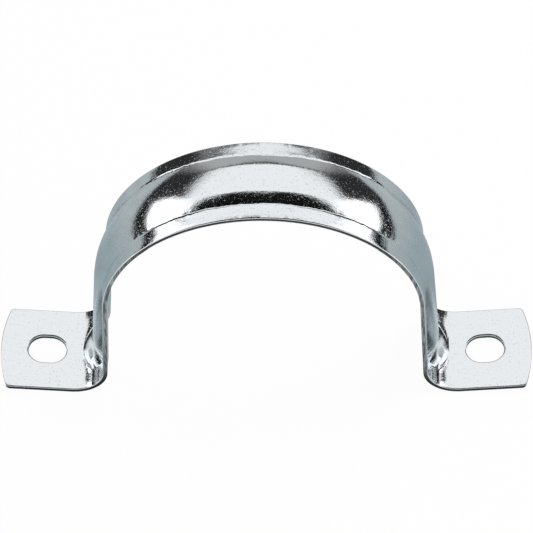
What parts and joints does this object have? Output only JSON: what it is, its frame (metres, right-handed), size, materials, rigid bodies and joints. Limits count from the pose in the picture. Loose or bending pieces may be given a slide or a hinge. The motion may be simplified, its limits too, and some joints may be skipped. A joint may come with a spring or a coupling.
{
  "type": "conduit strap",
  "caption": "Saddle strap pressed from plated steel strip, with a stiffening bead over its arch and a slotted foot on each side, to hold round conduit against a wall.",
  "frame": {"origin": "on the resting plane, below the middle of the arch", "axes": "+X across the conduit from foot to foot, +Y along the conduit, +Z away from the wall"},
  "size_m": [0.1114, 0.0196, 0.0611],
  "materials": {
    "zinc_plate": "bright zinc plating over pressed sheet steel"
  },
  "bodies": {
    "root": {"strap": "zinc_plate"}
  },
  "joints": []
}
